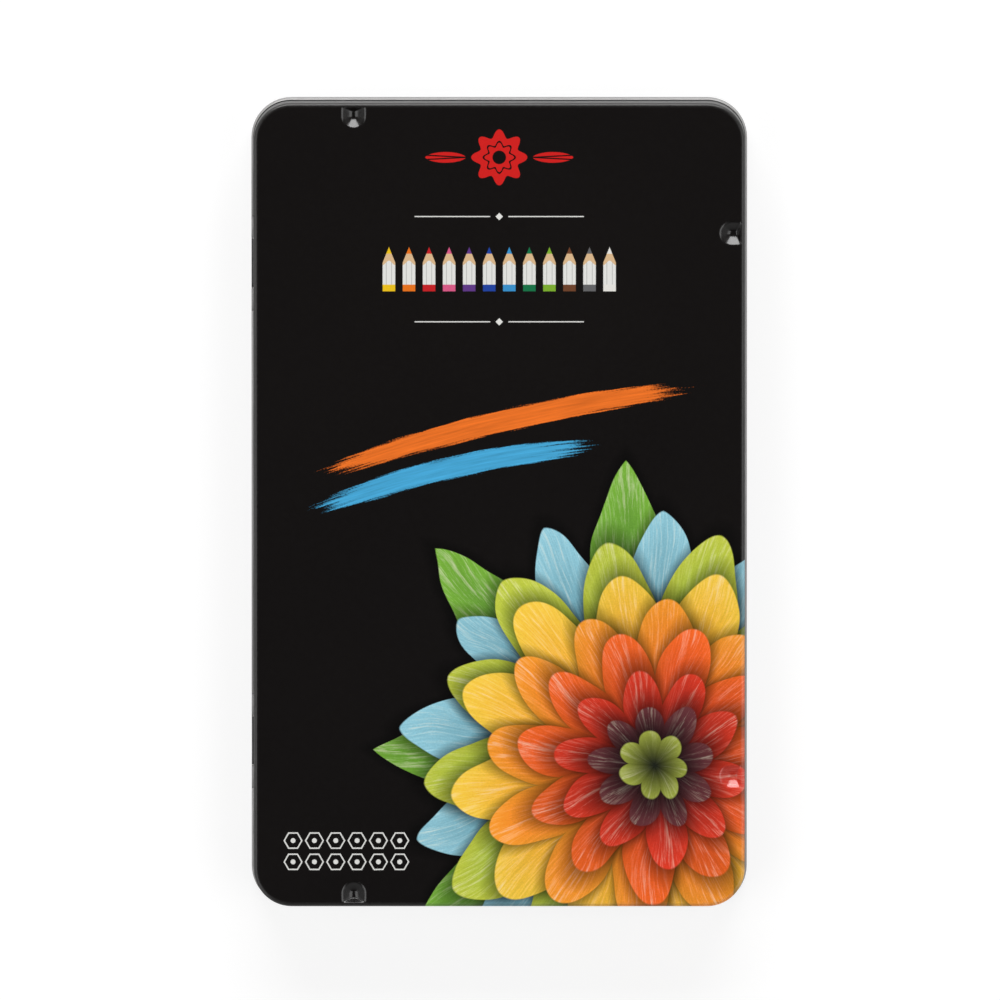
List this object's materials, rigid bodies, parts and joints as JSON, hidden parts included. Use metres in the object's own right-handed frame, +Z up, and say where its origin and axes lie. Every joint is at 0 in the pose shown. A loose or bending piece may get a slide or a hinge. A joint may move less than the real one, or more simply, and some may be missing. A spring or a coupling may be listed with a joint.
{
  "type": "colored pencil tin",
  "caption": "Flat rectangular tin with rounded corners and a hinged printed lid with pressed dimples, holding a tray of hexagonal coloured pencils under a foam pad.",
  "frame": {"origin": "middle of the foot ring, on the surface that the tin stands on", "axes": "+Z up through the closed lid; +Y along the pencils towards their points; the hinge is on the -X side"},
  "size_m": [0.1138, 0.186, 0.015],
  "materials": {
    "bare_tinplate": "clear-lacquered tinplate inside, satin grey lacquer outside",
    "printed_tinplate": "black litho print under satin varnish",
    "pin_wire": "drawn wire",
    "tray_plastic": "vacuum-formed sheet, soft gloss",
    "foam": "fine closed-cell foam",
    "pencil_wood": "bare, sharpened",
    "barrel_lacquer": "gloss lacquer with a pale ring",
    "lead_yellow": "waxy pigment",
    "dip_yellow": "gloss dipped paint",
    "lead_orange": "waxy pigment",
    "dip_orange": "gloss dipped paint",
    "lead_red": "waxy pigment",
    "dip_red": "gloss dipped paint",
    "lead_pink": "waxy pigment",
    "dip_pink": "gloss dipped paint",
    "lead_violet": "waxy pigment",
    "dip_violet": "gloss dipped paint",
    "lead_blue": "waxy pigment",
    "dip_blue": "gloss dipped paint",
    "lead_sky": "waxy pigment",
    "dip_sky": "gloss dipped paint",
    "lead_green": "waxy pigment",
    "dip_green": "gloss dipped paint",
    "lead_leaf": "waxy pigment",
    "dip_leaf": "gloss dipped paint",
    "lead_brown": "waxy pigment",
    "dip_brown": "gloss dipped paint",
    "lead_black": "waxy pigment",
    "dip_black": "gloss dipped paint",
    "lead_white": "waxy pigment",
    "dip_white": "gloss dipped paint"
  },
  "bodies": {
    "base": {"base": "bare_tinplate", "hinge_pins": "pin_wire", "inner_tray": "tray_plastic"},
    "lid": {"lid": "printed_tinplate", "foam_pad": "foam"},
    "pencil_01": {"pencil_01_wood": "pencil_wood", "pencil_01_lead": "lead_yellow", "pencil_01_lacquer": "barrel_lacquer", "pencil_01_dip": "dip_yellow"},
    "pencil_02": {"pencil_02_wood": "pencil_wood", "pencil_02_lead": "lead_orange", "pencil_02_lacquer": "barrel_lacquer", "pencil_02_dip": "dip_orange"},
    "pencil_03": {"pencil_03_wood": "pencil_wood", "pencil_03_lead": "lead_red", "pencil_03_lacquer": "barrel_lacquer", "pencil_03_dip": "dip_red"},
    "pencil_04": {"pencil_04_wood": "pencil_wood", "pencil_04_lead": "lead_pink", "pencil_04_lacquer": "barrel_lacquer", "pencil_04_dip": "dip_pink"},
    "pencil_05": {"pencil_05_wood": "pencil_wood", "pencil_05_lead": "lead_violet", "pencil_05_lacquer": "barrel_lacquer", "pencil_05_dip": "dip_violet"},
    "pencil_06": {"pencil_06_wood": "pencil_wood", "pencil_06_lead": "lead_blue", "pencil_06_lacquer": "barrel_lacquer", "pencil_06_dip": "dip_blue"},
    "pencil_07": {"pencil_07_wood": "pencil_wood", "pencil_07_lead": "lead_sky", "pencil_07_lacquer": "barrel_lacquer", "pencil_07_dip": "dip_sky"},
    "pencil_08": {"pencil_08_wood": "pencil_wood", "pencil_08_lead": "lead_green", "pencil_08_lacquer": "barrel_lacquer", "pencil_08_dip": "dip_green"},
    "pencil_09": {"pencil_09_wood": "pencil_wood", "pencil_09_lead": "lead_leaf", "pencil_09_lacquer": "barrel_lacquer", "pencil_09_dip": "dip_leaf"},
    "pencil_10": {"pencil_10_wood": "pencil_wood", "pencil_10_lead": "lead_brown", "pencil_10_lacquer": "barrel_lacquer", "pencil_10_dip": "dip_brown"},
    "pencil_11": {"pencil_11_wood": "pencil_wood", "pencil_11_lead": "lead_black", "pencil_11_lacquer": "barrel_lacquer", "pencil_11_dip": "dip_black"},
    "pencil_12": {"pencil_12_wood": "pencil_wood", "pencil_12_lead": "lead_white", "pencil_12_lacquer": "barrel_lacquer", "pencil_12_dip": "dip_white"}
  },
  "joints": [
    {"name": "lid_hinge", "type": "hinge", "parent": "base", "child": "lid", "pos_m": [-0.05605, 0, 0.0044], "axis": [0, -1, 0], "range_deg": [0, 114]},
    {"name": "pencil_01_roll", "type": "hinge", "parent": "base", "child": "pencil_01", "pos_m": [-0.04677, 0, 0.0072], "axis": [0, 1, 0], "continuous": true},
    {"name": "pencil_02_roll", "type": "hinge", "parent": "base", "child": "pencil_02", "pos_m": [-0.03826, 0, 0.0072], "axis": [0, 1, 0], "continuous": true},
    {"name": "pencil_03_roll", "type": "hinge", "parent": "base", "child": "pencil_03", "pos_m": [-0.02976, 0, 0.0072], "axis": [0, 1, 0], "continuous": true},
    {"name": "pencil_04_roll", "type": "hinge", "parent": "base", "child": "pencil_04", "pos_m": [-0.02126, 0, 0.0072], "axis": [0, 1, 0], "continuous": true},
    {"name": "pencil_05_roll", "type": "hinge", "parent": "base", "child": "pencil_05", "pos_m": [-0.01275, 0, 0.0072], "axis": [0, 1, 0], "continuous": true},
    {"name": "pencil_06_roll", "type": "hinge", "parent": "base", "child": "pencil_06", "pos_m": [-0.00425, 0, 0.0072], "axis": [0, 1, 0], "continuous": true},
    {"name": "pencil_07_roll", "type": "hinge", "parent": "base", "child": "pencil_07", "pos_m": [0.00425, 0, 0.0072], "axis": [0, 1, 0], "continuous": true},
    {"name": "pencil_08_roll", "type": "hinge", "parent": "base", "child": "pencil_08", "pos_m": [0.01275, 0, 0.0072], "axis": [0, 1, 0], "continuous": true},
    {"name": "pencil_09_roll", "type": "hinge", "parent": "base", "child": "pencil_09", "pos_m": [0.02126, 0, 0.0072], "axis": [0, 1, 0], "continuous": true},
    {"name": "pencil_10_roll", "type": "hinge", "parent": "base", "child": "pencil_10", "pos_m": [0.02976, 0, 0.0072], "axis": [0, 1, 0], "continuous": true},
    {"name": "pencil_11_roll", "type": "hinge", "parent": "base", "child": "pencil_11", "pos_m": [0.03826, 0, 0.0072], "axis": [0, 1, 0], "continuous": true},
    {"name": "pencil_12_roll", "type": "hinge", "parent": "base", "child": "pencil_12", "pos_m": [0.04677, 0, 0.0072], "axis": [0, 1, 0], "continuous": true}
  ]
}
